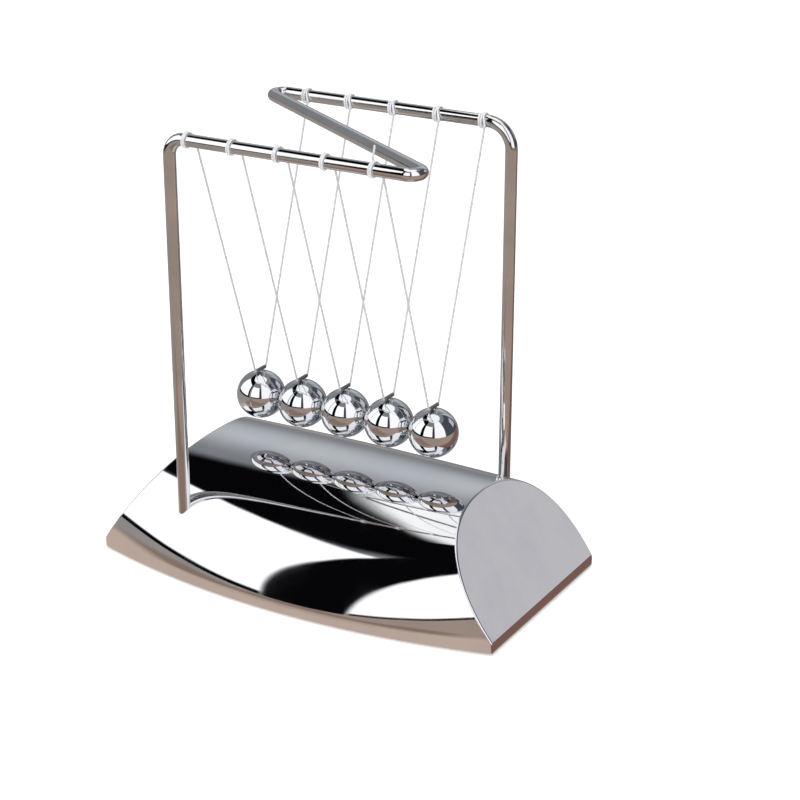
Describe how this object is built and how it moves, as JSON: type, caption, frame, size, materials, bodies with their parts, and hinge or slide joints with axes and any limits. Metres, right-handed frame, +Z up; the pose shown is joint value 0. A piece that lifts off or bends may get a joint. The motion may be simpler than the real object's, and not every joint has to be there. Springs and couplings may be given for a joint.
{
  "type": "newtons cradle",
  "caption": "Desk Newton's cradle: steel balls in a row on V-shaped nylon lines, under one bent chromed rod on an arched chromed base.",
  "frame": {"origin": "on the table, under the middle of the base", "axes": "+X along the row of balls to the viewer's right, +Y across the row away from the front, +Z up"},
  "size_m": [0.185, 0.115, 0.186],
  "materials": {
    "plated_shell": "chrome-plated, mirror gloss",
    "chromed_rod": "polished chrome plate",
    "steel_balls": "polished steel, mirror gloss",
    "hangers": "dark satin steel",
    "nylon_line": "clear nylon, slightly milky",
    "black_plastic": "fine matte",
    "ballast": "rough cast",
    "rubber_feet": "matte",
    "screws": "zinc-plated"
  },
  "bodies": {
    "stand": {"base_shell": "plated_shell", "bottom_cover": "black_plastic", "ballast_plate": "ballast", "frame_rod": "chromed_rod", "cover_screws": "screws", "ballast_screws": "screws", "rod_screws": "screws", "rod_washers": "screws", "rubber_foot_1": "rubber_feet", "rubber_foot_2": "rubber_feet", "rubber_foot_3": "rubber_feet", "rubber_foot_4": "rubber_feet", "front_hitch_1": "nylon_line", "front_hitch_2": "nylon_line", "front_hitch_3": "nylon_line", "front_hitch_4": "nylon_line", "front_hitch_5": "nylon_line", "back_hitch_1": "nylon_line", "back_hitch_2": "nylon_line", "back_hitch_3": "nylon_line", "back_hitch_4": "nylon_line", "back_hitch_5": "nylon_line"},
    "pendulum_1": {"ball_1": "steel_balls", "hanger_1": "hangers", "line_1": "nylon_line"},
    "pendulum_2": {"ball_2": "steel_balls", "hanger_2": "hangers", "line_2": "nylon_line"},
    "pendulum_3": {"ball_3": "steel_balls", "hanger_3": "hangers", "line_3": "nylon_line"},
    "pendulum_4": {"ball_4": "steel_balls", "hanger_4": "hangers", "line_4": "nylon_line"},
    "pendulum_5": {"ball_5": "steel_balls", "hanger_5": "hangers", "line_5": "nylon_line"}
  },
  "joints": [
    {"name": "swing_1", "type": "hinge", "parent": "stand", "child": "pendulum_1", "pos_m": [-0.0412, 0, 0.1811], "axis": [0, -1, 0], "range_deg": [-75, 0]},
    {"name": "swing_2", "type": "hinge", "parent": "stand", "child": "pendulum_2", "pos_m": [-0.0206, 0, 0.1811], "axis": [0, -1, 0], "range_deg": [-0.1, 0.1]},
    {"name": "swing_3", "type": "hinge", "parent": "stand", "child": "pendulum_3", "pos_m": [0, 0, 0.1811], "axis": [0, -1, 0], "range_deg": [-0.1, 0.1]},
    {"name": "swing_4", "type": "hinge", "parent": "stand", "child": "pendulum_4", "pos_m": [0.0206, 0, 0.1811], "axis": [0, -1, 0], "range_deg": [-0.1, 0.1]},
    {"name": "swing_5", "type": "hinge", "parent": "stand", "child": "pendulum_5", "pos_m": [0.0412, 0, 0.1811], "axis": [0, -1, 0], "range_deg": [0, 75]}
  ]
}
